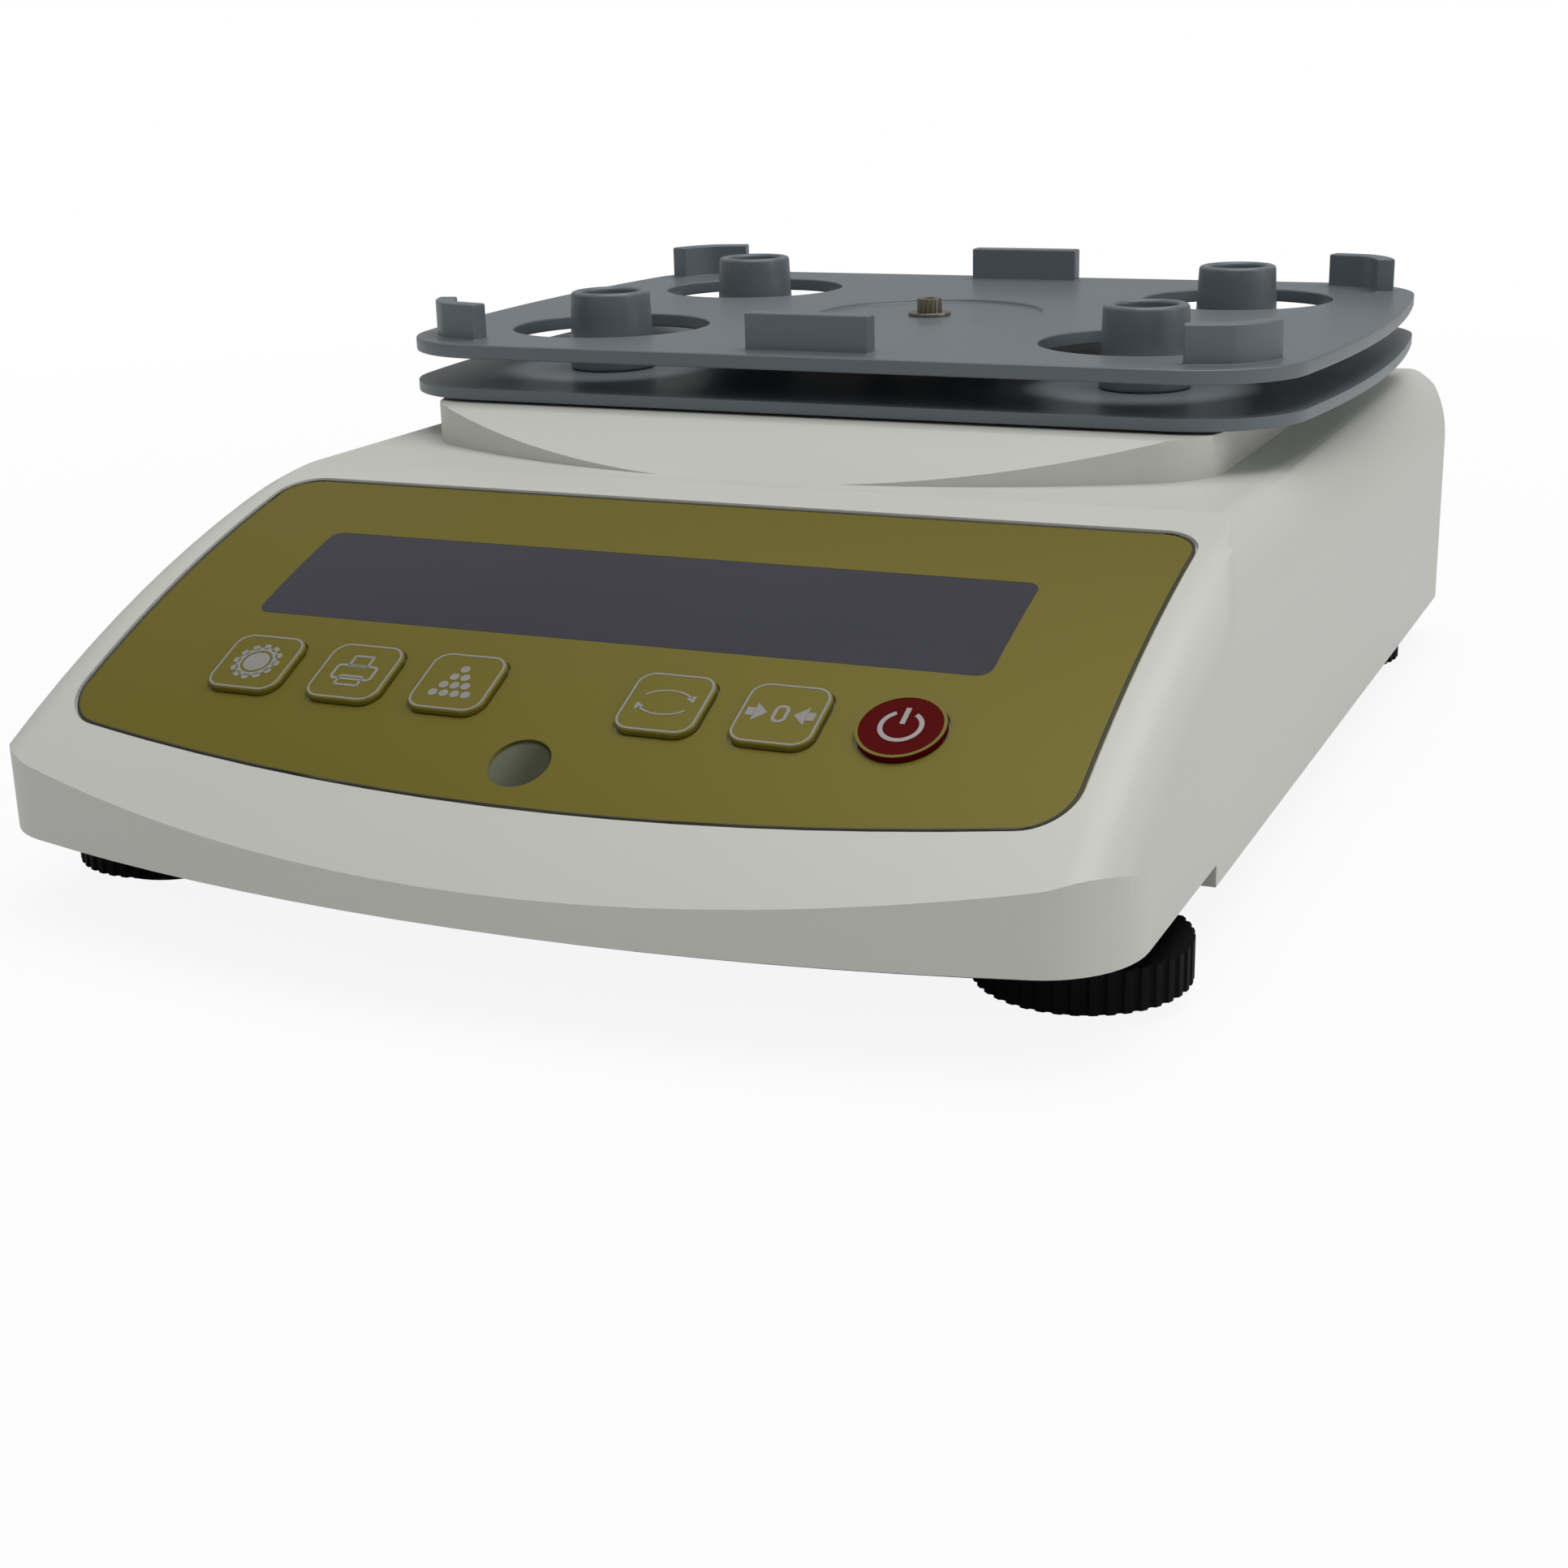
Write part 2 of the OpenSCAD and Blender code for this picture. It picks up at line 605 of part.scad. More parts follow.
module weigh_plate() color([0.45, 0.49, 0.52])
    translate([0, plat_y, weigh_z]) difference() {
        union() {
            linear_extrude(weigh_t) plate_plan();
            linear_extrude(weigh_t + lug_h) {
                for (y = [-1, 1]) translate([0, y * (plate_d / 2 - lug_inset - lug_t / 2)])
                    square([lug_w, lug_t], center = true);
                for (mx = [0, 1], my = [0, 1]) mirror([mx, 0]) mirror([0, my]) corner_lug();
            }
        }
        for (p = post_spots) translate([p[0], p[1] - plat_y, -over_cut])
            cylinder(r = clear_r, h = weigh_t + 2 * over_cut);
        translate([0, 0, weigh_t - dish_d]) cylinder(r = dish_r, h = dish_d + over_cut);
        translate([0, 0, -over_cut]) cylinder(r = plate_screw_r + 0.3, h = weigh_t + 2 * over_cut);
    }

module platform_washer() color([0.72, 0.68, 0.5])
    translate([0, plat_y, weigh_top - dish_d]) difference() {
        cylinder(r = 4.7, h = 0.8);
        translate([0, 0, -over_cut]) cylinder(r = plate_screw_r + 0.2, h = 3);
    }

// Knurled socket-head screw
module platform_screw() color([0.72, 0.7, 0.6])
    translate([0, plat_y, weigh_top - dish_d + 0.8]) difference() {
        union() {
            cylinder(r = 2.75, h = 3);
            translate([0, 0, -plate_screw_l]) cylinder(r = plate_screw_r, h = plate_screw_l + 1);
        }
        translate([0, 0, 1.4]) cylinder(r = 1.45, h = 3, $fn = 6);
        for (i = [0:15]) rotate([0, 0, i * 360 / 16]) translate([2.75, 0, -1]) cylinder(r = 0.22, h = 6, $fn = 16);
    }

// Arm from the load cell's free end to the middle, and the hub up to the weighing plate
module platform_hub() color([0.75, 0.76, 0.78]) {
    end_x = cell_l / 2;
    difference() {
        union() {
            translate([0, plat_y, cell_top + arm_rise]) cylinder(r = hub_r, h = weigh_z - cell_top - arm_rise);
            translate([0, plat_y - cell_w / 2, cell_top + arm_rise]) cube([end_x, cell_w, arm_t]);
            translate([end_x - cell_pad, plat_y - cell_w / 2, cell_top]) cube([cell_pad, cell_w, arm_rise + 1]);
        }
        translate([0, plat_y, weigh_z - plate_screw_l]) cylinder(r = plate_screw_r + 0.05, h = plate_screw_l + 1);
        for (x = cell_marks) translate([end_x - x, plat_y, cell_top - over_cut])
            cylinder(r = cell_hole_r, h = arm_rise + arm_t + 2 * over_cut);
    }
}

module cell_screw(low, high) {
    translate([0, 0, low]) cylinder(r = cell_screw_r, h = high - low + 1);
    translate([0, 0, high]) cylinder(r = cell_head_r, h = cell_head_h);
}

module hub_screws() color([0.6, 0.6, 0.6])
    for (x = cell_marks) translate([cell_l / 2 - x, plat_y, 0])
        cell_screw(cell_z + 2, cell_top + arm_rise + arm_t);

// ---- inside ----

// The load cell's block, with the two joined bores that leave thin webs above and below
module cell_block() {
    translate([0, plat_y, cell_z]) difference() {
        translate([-cell_l / 2, -cell_w / 2, 0]) cube([cell_l, cell_w, cell_h]);
        for (x = [-web_x, web_x]) translate([x, 0, cell_h / 2]) rotate([90, 0, 0])
            cylinder(r = cell_h / 2 - web_t, h = cell_w + 2 * over_cut, center = true);
        translate([0, 0, cell_h / 2]) cube([2 * web_x, cell_w + 2 * over_cut, 8], center = true);
        for (x = cell_marks, s = [-1, 1]) translate([s * (cell_l / 2 - x), 0, -over_cut])
            cylinder(r = cell_hole_r, h = cell_h + 2 * over_cut);
    }
}

module load_cell() color([0.78, 0.79, 0.8])
    intersection() {
        cell_block();
        translate([-cell_l, plat_y - cell_w, 0]) cube([cell_l + web_x, 2 * cell_w, deck_z]);
    }

module load_cell_free_end() color([0.78, 0.79, 0.8])
    intersection() {
        cell_block();
        translate([web_x + slit, plat_y - cell_w, 0]) cube([cell_l, 2 * cell_w, deck_z]);
    }

module cell_spacer() color([0.65, 0.66, 0.68])
    translate([-cell_l / 2, plat_y - cell_w / 2, floor_top]) difference() {
        cube([cell_pad, cell_w, spacer_t]);
        for (x = cell_marks) translate([x, cell_w / 2, -over_cut])
            cylinder(r = cell_hole_r, h = spacer_t + 2 * over_cut);
    }

module cell_screws() color([0.6, 0.6, 0.6])
    for (x = cell_marks) translate([x - cell_l / 2, plat_y, 0]) cell_screw(tray_z + 0.4, cell_top);

module overload_stop() color([0.7, 0.65, 0.4])
    translate([cell_l / 2 - 15, plat_y, floor_top]) cylinder(r = 4, h = spacer_t - stop_gap);

module main_board() color([0.08, 0.3, 0.14])
    translate([0, main_y, main_z]) difference() {
        cube([110, 62, board_t], center = true);
        for (x = [-1, 1], y = [-1, 1]) translate([x * main_marks[0], y * main_marks[1], -2])
            cylinder(r = screw_hole, h = 4);
    }

module board_standoffs() color([0.8, 0.8, 0.75])
    for (x = [-1, 1], y = [-1, 1]) translate([x * main_marks[0], main_y + y * main_marks[1], floor_top])
        cylinder(r = 3, h = main_z - floor_top - board_t / 2);

module dc_jack() color([0.07, 0.07, 0.07])
    translate([jack_spot[0], back_y - socket_in, jack_spot[1]]) rotate([90, 0, 0]) {
        difference() {
            union() {
                cylinder(r = 6, h = 13);
                translate([0, 0, wall - socket_in]) cylinder(r = 8, h = 2.5);
            }
            translate([0, 0, -over_cut]) cylinder(r = 3.1, h = 11);
        }
        translate([0, 0, 1]) cylinder(r = 1.1, h = 11);
    }

module serial_port() color([0.6, 0.61, 0.62])
    translate([port_spot[0], back_y - socket_in, port_spot[1]]) rotate([90, 0, 0])
        difference() {
            union() {
                translate([0, 0, 6]) cube([31, 12.2, 12], center = true);
                translate([0, 0, wall - socket_in + 1]) cube([36, 15, 2], center = true);
            }
            translate([0, 0, -over_cut]) linear_extrude(7) polygon([[-9, 4.2], [9, 4.2], [8, -4.2], [-8, -4.2]]);
            for (x = [-12.5, 12.5]) translate([x, 0, -over_cut]) cylinder(r = 1.6, h = 8);
        }

// ---- feet ----

// A knurled wheel with its hub and threaded stud
module wheel(p) color([0.07, 0.07, 0.08])
    translate([p[0], p[1], 0]) difference() {
        union() {
            translate([0, 0, wheel_z]) cylinder(r = wheel_r, h = wheel_h);
            translate([0, 0, wheel_top]) cylinder(r = boss_r, h = hub_top - wheel_top);
            translate([0, 0, wheel_top]) cylinder(r = stud_r, h = stud_top - wheel_top);
        }
        for (i = [0:knurls - 1]) rotate([0, 0, i * 360 / knurls]) translate([wheel_r + 0.25, 0, wheel_z - 1])
            cylinder(r = 0.75, h = wheel_h + 2, $fn = 16);
        translate([0, 0, wheel_z - over_cut]) cylinder(r = 3.05, h = 4);
    }

// The rubber pad, with the pin it turns on
module pad(p) color([0.05, 0.05, 0.05])
    translate([p[0], p[1], 0]) {
        cylinder(r = pad_r, h = pad_t - 0.05);
        cylinder(r = 3, h = wheel_z + 2.6);
    }

module wheel_front_left() wheel(foot_spots[0]);
module wheel_front_right() wheel(foot_spots[1]);
module wheel_rear_left() wheel(foot_spots[2]);
module wheel_rear_right() wheel(foot_spots[3]);
module pad_front_left() pad(foot_spots[0]);
module pad_front_right() pad(foot_spots[1]);
module pad_rear_left() pad(foot_spots[2]);
module pad_rear_right() pad(foot_spots[3]);

top_cover();
base_tray();
case_screws();
keypad_overlay();
display_window();
lcd_module();
display_board();
key_switches();
key_set();
key_print();
key_enter();
key_mode();
key_zero();
key_power();
level_vial();
tank_plate();
tank_posts();
tank_screws();
weigh_plate();
platform_washer();
platform_screw();
platform_hub();
hub_screws();
load_cell();
load_cell_free_end();
cell_spacer();
cell_screws();
overload_stop();
main_board();
board_standoffs();
dc_jack();
serial_port();
wheel_front_left();
wheel_front_right();
wheel_rear_left();
wheel_rear_right();
pad_front_left();
pad_front_right();
pad_rear_left();
pad_rear_right();
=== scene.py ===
"""Benchtop density meter: finishes, printed symbols, socket contacts, light and camera.

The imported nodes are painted, those with moulded or turned edges are covered by copies with
rounded ones, and what is too thin or too small for the solids is added. Lengths are metres,
except the plain numbers in the flat drawings, which are millimetres.
"""
import json
import math

import bpy
from mathutils import Matrix, Vector

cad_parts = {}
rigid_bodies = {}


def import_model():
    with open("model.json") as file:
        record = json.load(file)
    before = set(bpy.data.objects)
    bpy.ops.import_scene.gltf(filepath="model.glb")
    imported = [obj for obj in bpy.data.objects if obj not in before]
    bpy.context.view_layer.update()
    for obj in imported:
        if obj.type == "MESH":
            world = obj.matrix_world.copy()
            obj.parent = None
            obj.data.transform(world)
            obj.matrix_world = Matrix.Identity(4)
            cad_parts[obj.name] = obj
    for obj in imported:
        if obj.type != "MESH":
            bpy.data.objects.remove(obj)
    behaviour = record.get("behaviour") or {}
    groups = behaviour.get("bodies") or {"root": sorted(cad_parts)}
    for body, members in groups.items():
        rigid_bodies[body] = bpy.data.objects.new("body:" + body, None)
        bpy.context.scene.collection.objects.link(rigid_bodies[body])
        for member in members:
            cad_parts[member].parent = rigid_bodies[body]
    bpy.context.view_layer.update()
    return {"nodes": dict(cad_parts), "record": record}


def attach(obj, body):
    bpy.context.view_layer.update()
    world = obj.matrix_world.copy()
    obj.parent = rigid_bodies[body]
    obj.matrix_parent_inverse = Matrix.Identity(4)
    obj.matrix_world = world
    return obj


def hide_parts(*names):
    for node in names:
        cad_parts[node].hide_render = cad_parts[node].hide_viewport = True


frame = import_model()
NODES = frame["nodes"]
BODIES = frame["record"]["behaviour"]["bodies"]
BODY_OF = {node: body for body, nodes in BODIES.items() for node in nodes}
SLOT_OF = {entry["node"]: entry["material_slot"] for entry in frame["record"]["subparts"]}
MM = 0.001

# The curved control deck is part of a cylinder that lies along X
DECK_R = 290 * MM
DECK_AXIS = Vector((0, 11.01 * MM, -221.28 * MM))

# The row of keys: its angle on the deck, and each key's place across in millimetres
KEY_ANGLE = 24.9
KEY_X = {"set": -60.2, "print": -39.85, "enter": -19.5, "mode": 19.5, "zero": 39.85, "power": 60.2}
KEY_RISE = 0.6 * MM         # top of a key above the deck
# The next two also serve the painted shadow line round the overlay, which stands for the shade in
# the film's recess
INK_AND_SHADE_T = 0.06 * MM           # thickness of anything printed
FILM_LINE = 0.45 * MM       # width of the dark line round the overlay

# In millimetres: a key's width, the outline printed on a square key, the rim of the round one
KEY_WIDE = 14.7
OUTLINE_WIDE, OUTLINE_CORNER, OUTLINE_LINE = 14.0, 3.0, 0.4
RIM_LINE = 0.55

# The serial socket: bottom of its recess, then its D-shaped block and pins in millimetres
PORT_FLOOR = Vector((40, 142.65, 34)) * MM
BLOCK_WIDE, BLOCK_HIGH, BLOCK_DEEP, BLOCK_TAPER = 16.8, 7.4, 2.4, 0.9
PIN_PITCH, PIN_ROW, PIN_R, PIN_LONG, PIN_MIDDLE = 2.77, 1.42, 0.5, 2.8, 3.5

# Rounded edges of the moulded and turned nodes, in millimetres
ROUNDED = {"top_cover": 0.7, "tank_plate": 0.5, "weigh_plate": 0.55, "tank_posts": 0.9,
           "platform_screw": 0.12, "platform_washer": 0.12, "base_tray": 0.4}
ROUNDED.update({"key_" + name: 0.3 for name in KEY_X})
for side in ("front_left", "front_right", "rear_left", "rear_right"):
    ROUNDED.update({"wheel_" + side: 0.3, "pad_" + side: 0.4})

# Limits for cleaning a copied mesh and for finding and shading its edges
MERGE = 0.002 * MM
FLAT_WITHIN = math.radians(0.5)
EDGE_FROM = math.radians(32)
SMOOTH_BELOW = math.radians(35)
FILM_SMOOTH_BELOW = math.radians(28)
BLOCK_EDGE_FROM = math.radians(50)
BLOCK_SMOOTH_BELOW = math.radians(40)
TOP_FACING = 0.9            # a face whose normal agrees this much with the deck's is its top
FORMER_SIDES, FORMER_LONG = 720, 0.3    # the cylinder that the films' shading is taken from


# ---- shader building ----

class Wire:
    """A socket that takes part in sums: each operator adds its Math node."""

    def __init__(self, sheet, socket):
        self.sheet, self.socket = sheet, socket

    def maths(self, operation, other):
        return self.sheet.add("ShaderNodeMath", {"operation": operation}, {0: self, 1: other})

    def __add__(self, other):
        return self.maths("ADD", other)

    def __mul__(self, other):
        return self.maths("MULTIPLY", other)

    __radd__ = __add__
    __rmul__ = __mul__


class Sheet:
    """A node tree."""

    def __init__(self, tree):
        self.tree = tree

    def fill(self, node, sockets):
        """Sets a node's sockets, or links those that are given a wire."""
        for key, value in sockets.items():
            if isinstance(value, Wire):
                self.tree.links.new(value.socket, node.inputs[key])
            else:
                node.inputs[key].default_value = value

    def add(self, kind, settings=None, sockets=None, out=0):
        node = self.tree.nodes.new(kind)
        for key, value in (settings or {}).items():
            setattr(node, key, value)
        self.fill(node, sockets or {})
        return Wire(self, node.outputs[out])


class Finish(Sheet):
    """A material and the nodes that make it."""

    # Sockets of a Mix node that mixes colours
    MIX_FACTOR, MIX_FIRST, MIX_SECOND, MIX_RESULT = 0, 6, 7, 2

    def __init__(self, name, **constants):
        self.material = bpy.data.materials.new(name)
        self.material.use_nodes = True
        super().__init__(self.material.node_tree)
        self.shader = self.tree.nodes["Principled BSDF"]
        self.fill(self.shader, {key.replace("_", " "): value for key, value in constants.items()})

    def feed(self, socket, wire):
        self.fill(self.shader, {socket: wire})

    def place(self):
        return self.add("ShaderNodeTexCoord", out="Object")

    def noise(self, scale, detail=3.0, stretch=None):
        where = self.place()
        if stretch:
            where = self.add("ShaderNodeMapping", None, {"Vector": where, "Scale": stretch})
        return self.add("ShaderNodeTexNoise", None,
                        {"Vector": where, "Scale": scale, "Detail": detail})

    def blend(self, factor, first, second):
        sockets = {self.MIX_FACTOR: factor, self.MIX_FIRST: first, self.MIX_SECOND: second}
        return self.add("ShaderNodeMix", {"data_type": "RGBA"}, sockets, out=self.MIX_RESULT)

    def bump(self, height, strength, distance):
        self.feed("Normal", self.add("ShaderNodeBump", None, {
            "Height": height, "Strength": strength, "Distance": distance}))


def rgb(red, green, blue):
    return (red, green, blue, 1.0)


def shade(colour, share):
    return rgb(*(part * share for part in colour[:3]))


def moulded(name, colour, roughness, grain, strength, spread=0.05, **constants):
    """Moulded plastic: spark-eroded grain, slow changes of tone and a little uneven gloss."""
    made = Finish(name, **constants)
    tone = made.noise(14.0)
    made.feed("Base Color", made.blend(tone, shade(colour, 1 - spread), shade(colour, 1 + spread)))
    fine = made.noise(grain, detail=2.0)
    slow = made.noise(30.0)
    smoothest = roughness - 0.1
    made.feed("Roughness", fine * 0.12 + slow * 0.08 + smoothest)
    made.bump(fine, strength, distance=0.05 * MM)
    return made.material


def turned(name, colour, roughness, stretch=(1, 1, 30)):
    """Machined metal with fine tool marks, packed close along the axis with the large number."""
    made = Finish(name, Metallic=1.0)
    marks = made.noise(400.0, 4.0, stretch)
    made.feed("Base Color", made.blend(marks, shade(colour, 0.86), shade(colour, 1.05)))
    smoothest = roughness - 0.12
    made.feed("Roughness", marks * 0.25 + smoothest)
    made.bump(marks, 0.15, distance=0.02 * MM)
    return made.material


def printed_film(name, colour, metal=0.2):
    """Satin metallic ink behind matt polyester film."""
    made = Finish(name, Metallic=metal, Specular_IOR_Level=0.3)
    flake = made.noise(2600.0, detail=2.0)
    cloud = made.noise(9.0, detail=2.0)
    base = made.blend(cloud, shade(colour, 0.93), shade(colour, 1.07))
    made.feed("Base Color", made.blend(flake * 0.3, base, shade(colour, 1.3)))
    made.feed("Roughness", flake * 0.14 + 0.42)
    made.bump(flake, 0.06, distance=0.02 * MM)
    return made.material


def glassy(name, colour, alpha, roughness):
    """Clear or smoked plastic with faint wipe marks."""
    made = Finish(name, Alpha=alpha, Specular_IOR_Level=0.12)
    wipe = made.noise(18.0, detail=2.0)
    made.feed("Base Color", made.blend(wipe, shade(colour, 0.9), shade(colour, 1.1)))
    made.feed("Roughness", wipe * 0.06 + roughness)
    return made.material


def vial_liquid():
    """Spirit behind a moulded lens, with painted shading: lighter at the left, darker to the
    right.
    """
    made = Finish("vial_liquid", Specular_IOR_Level=0.12, Roughness=0.25)
    across = made.add("ShaderNodeSeparateXYZ", None, {"Vector": made.place()})
    # Painted shade across the vial, from light at the left to dark at the right
    depth = made.add("ShaderNodeMapRange", {"interpolation_type": "SMOOTHSTEP"},
                     {"Value": across, "From Min": -6 * MM, "From Max": 3 * MM})
    light_side, dark_side = rgb(0.135, 0.148, 0.098), rgb(0.050, 0.056, 0.032)
    made.feed("Base Color", made.blend(depth, light_side, dark_side))
    return made.material


GOLD = rgb(0.150, 0.124, 0.009)
MATERIALS = {
    "cover": moulded("cover_plastic", rgb(0.59, 0.60, 0.55), roughness=0.42, grain=1500.0,
                     strength=0.22, spread=0.02),
    "plate": moulded("plate_plastic", rgb(0.135, 0.162, 0.182), roughness=0.34, grain=1100.0,
                     strength=0.25, spread=0.06),
    "tray": moulded("tray_plastic", rgb(0.012, 0.012, 0.013), roughness=0.55, grain=1200.0,
                    strength=0.35),
    "wheel": moulded("wheel_plastic", rgb(0.004, 0.004, 0.004), roughness=0.6, grain=900.0,
                     strength=0.3, Specular_IOR_Level=0.08),
    "pad": moulded("pad_rubber", rgb(0.008, 0.008, 0.008), roughness=0.75, grain=700.0,
                   strength=0.5),
    "overlay": printed_film("overlay_film", GOLD),
    "key_film": printed_film("key_film", GOLD),
    "key_red": moulded("key_red", rgb(0.088, 0.001, 0.001), roughness=0.42, grain=1800.0,
                       strength=0.08, Specular_IOR_Level=0.03),
    "window": glassy("window_smoked", rgb(0.052, 0.053, 0.066), alpha=0.95, roughness=0.22),
    "lcd": glassy("lcd_glass", rgb(0.09, 0.09, 0.11), alpha=1.0, roughness=0.3),
    "vial": vial_liquid(),
    "board": moulded("board_mask", rgb(0.015, 0.11, 0.035), roughness=0.35, grain=600.0,
                     strength=0.2),
    "standoff": moulded("standoff_nylon", rgb(0.6, 0.6, 0.55), roughness=0.5, grain=900.0,
                        strength=0.2),
    "steel": turned("steel_plain", rgb(0.55, 0.55, 0.54), roughness=0.35),
    "nickel_brass": turned("brass_nickel", rgb(0.30, 0.27, 0.21), roughness=0.34),
    "alloy": turned("alloy_machined", rgb(0.62, 0.62, 0.64), roughness=0.38, stretch=(30, 1, 1)),
    "contact": turned("contact_gilt", rgb(0.72, 0.52, 0.20), roughness=0.3),
    # Painted shadow: the dark line round the overlay stands for the shade in the film's recess
    "painted_shadow_dark": moulded("painted_shadow_dark", rgb(0.018, 0.020, 0.022), roughness=0.45, grain=1500.0,
                        strength=0.05),
    "white_ink": moulded("white_ink", rgb(0.33, 0.30, 0.295), roughness=0.4, grain=1500.0,
                         strength=0.05),
    "silver_ink": printed_film("silver_ink", rgb(0.26, 0.255, 0.235), metal=0.0),
}


def paint(piece, material):
    piece.data.materials.clear()
    piece.data.materials.append(MATERIALS[material])


# ---- modelling helpers ----

def only(piece):
    bpy.ops.object.select_all(action="DESELECT")
    piece.select_set(True)
    bpy.context.view_layer.objects.active = piece


def in_edit(piece, work, everything=True):
    """Does the work in edit mode, on the whole piece or on what is selected already."""
    only(piece)
    bpy.ops.object.mode_set(mode="EDIT")
    if everything:
        bpy.ops.mesh.select_all(action="SELECT")
    work()
    bpy.ops.object.mode_set(mode="OBJECT")


def drop_faces():
    bpy.ops.mesh.select_mode(type="FACE")
    bpy.ops.mesh.delete(type="FACE")


def modify(piece, kind, **settings):
    """Adds a modifier with those settings and applies it."""
    only(piece)
    modifier = piece.modifiers.new(kind.lower(), kind)
    for key, value in settings.items():
        setattr(modifier, key, value)
    bpy.ops.object.modifier_apply(modifier=modifier.name)


def round_edges(piece, width, segments, edge_from, smooth_below):
    modify(piece, "BEVEL", width=width, segments=segments, limit_method="ANGLE",
           angle_limit=edge_from)
    bpy.ops.object.shade_smooth_by_angle(angle=smooth_below)


def thicken(piece, depth):
    modify(piece, "SOLIDIFY", thickness=depth, offset=1)


def join(pieces, name):
    only(pieces[0])
    for piece in pieces[1:]:
        piece.select_set(True)
    if len(pieces) > 1:
        bpy.ops.object.join()
    bpy.context.object.name = name
    return bpy.context.object


def settle(piece):
    """Puts the piece's place, turn and size into its mesh."""
    only(piece)
    bpy.ops.object.transform_apply(location=True, rotation=True, scale=True)
    return piece


def seat(piece, matrix):
    piece.matrix_world = matrix @ piece.matrix_world
    settle(piece)


def copy_of(node, name):
    only(NODES[node])
    bpy.ops.object.duplicate()
    bpy.context.object.name = name
    return bpy.context.object


def stand_for(piece, node):
    """The piece covers the node, takes its body, and is painted with the finish of the node's
    slot.
    """
    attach(piece, BODY_OF[node])
    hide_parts(node)
    paint(piece, SLOT_OF[node])


def soften(node, width, segments):
    """Covers a node with a copy that has rounded edges."""
    piece = copy_of(node, node + "_rounded")

    def clean():
        bpy.ops.mesh.remove_doubles(threshold=MERGE)
        bpy.ops.mesh.dissolve_limited(angle_limit=FLAT_WITHIN)

    in_edit(piece, clean)
    round_edges(piece, width, segments, EDGE_FROM, SMOOTH_BELOW)
    modify(piece, "WEIGHTED_NORMAL", keep_sharp=True)
    stand_for(piece, node)


def follow_deck(node):
    """Covers a thin node of the curved panel with a copy shaded as the cylinder it lies on."""
    piece = copy_of(node, node + "_shaded")
    bpy.ops.object.shade_smooth_by_angle(angle=FILM_SMOOTH_BELOW)
    bpy.ops.mesh.primitive_cylinder_add(vertices=FORMER_SIDES, radius=DECK_R, depth=FORMER_LONG,
                                        end_fill_type="NOTHING", location=DECK_AXIS,
                                        rotation=(0, math.radians(90), 0))
    former = bpy.context.object
    bpy.ops.object.shade_smooth()
    modify(piece, "DATA_TRANSFER", object=former, use_loop_data=True,
           data_types_loops={"CUSTOM_NORMAL"}, loop_mapping="POLYINTERP_NEAREST")
    only(former)
    bpy.ops.object.delete()
    stand_for(piece, node)


def painted_shadow_line(node, width, name, ink_or_shade):
    """A dark line round the outer edge of a film on the deck: painted shadow, where the film lies
    down in its recess.
    """
    piece = copy_of(node, name)

    def merge():
        bpy.ops.mesh.remove_doubles(threshold=MERGE)
        bpy.ops.mesh.select_mode(type="FACE")

    def keep_borders():
        drop_faces()
        bpy.ops.mesh.select_all(action="SELECT")
        bpy.ops.mesh.inset(thickness=width, use_boundary=True)
        bpy.ops.mesh.delete(type="FACE")
        bpy.ops.mesh.select_mode(type="VERT")
        bpy.ops.mesh.select_all(action="DESELECT")

    def keep_linked():
        bpy.ops.mesh.select_linked()
        bpy.ops.mesh.select_all(action="INVERT")
        bpy.ops.mesh.delete(type="VERT")

    in_edit(piece, merge)
    for face in piece.data.polygons:
        outward = face.center - DECK_AXIS
        outward.x = 0
        face.select = face.normal.dot(outward.normalized()) < TOP_FACING
    in_edit(piece, keep_borders, everything=False)
    outermost = max(piece.data.vertices, key=lambda corner: corner.co.x)
    outermost.select = True
    in_edit(piece, keep_linked, everything=False)
    # A thin dark sheet of painted shadow, standing for the shade in the film's recess
    thicken(piece, INK_AND_SHADE_T)
    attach(piece, BODY_OF[node])
    paint(piece, ink_or_shade)


def on_deck(angle, x, lift):
    """The place on the curved deck at that angle, lifted along its normal."""
    turn = Matrix.Rotation(math.radians(angle), 4, "X")
    return (Matrix.Translation(DECK_AXIS + Vector((x * MM, 0, 0))) @ turn
            @ Matrix.Translation((0, 0, DECK_R + lift)))


# ---- flat drawings about the origin, in millimetres and degrees ----

def bar(x, y, wide, high, turn=0.0):
    bpy.ops.mesh.primitive_plane_add(size=MM, location=(x * MM, y * MM, 0),
                                     rotation=(0, 0, math.radians(turn)))
    return flatten(bpy.context.object, wide, high)


def disc(x, y, radius, sides=32, turn=0.0):
    bpy.ops.mesh.primitive_circle_add(vertices=sides, radius=radius * MM, fill_type="NGON",
                                      location=(x * MM, y * MM, 0),
                                      rotation=(0, 0, math.radians(turn)))
    return settle(bpy.context.object)


def flatten(piece, wide, high):
    piece.scale = (wide, high, 1)
    return settle(piece)


def round_bar(x, y, wide, high, corner, turn=0.0):
    """A bar with rounded corners."""
    piece = bar(x, y, wide, high, turn)
    in_edit(piece, lambda: bpy.ops.mesh.bevel(offset=corner * MM, segments=6, affect="VERTICES"))
    return piece


def hollow(piece, line):
    """Leaves only an outline of that width."""
    def cut():
        bpy.ops.mesh.select_mode(type="FACE")
        bpy.ops.mesh.inset(thickness=line * MM)
        bpy.ops.mesh.delete(type="FACE")

    in_edit(piece, cut)
    return piece


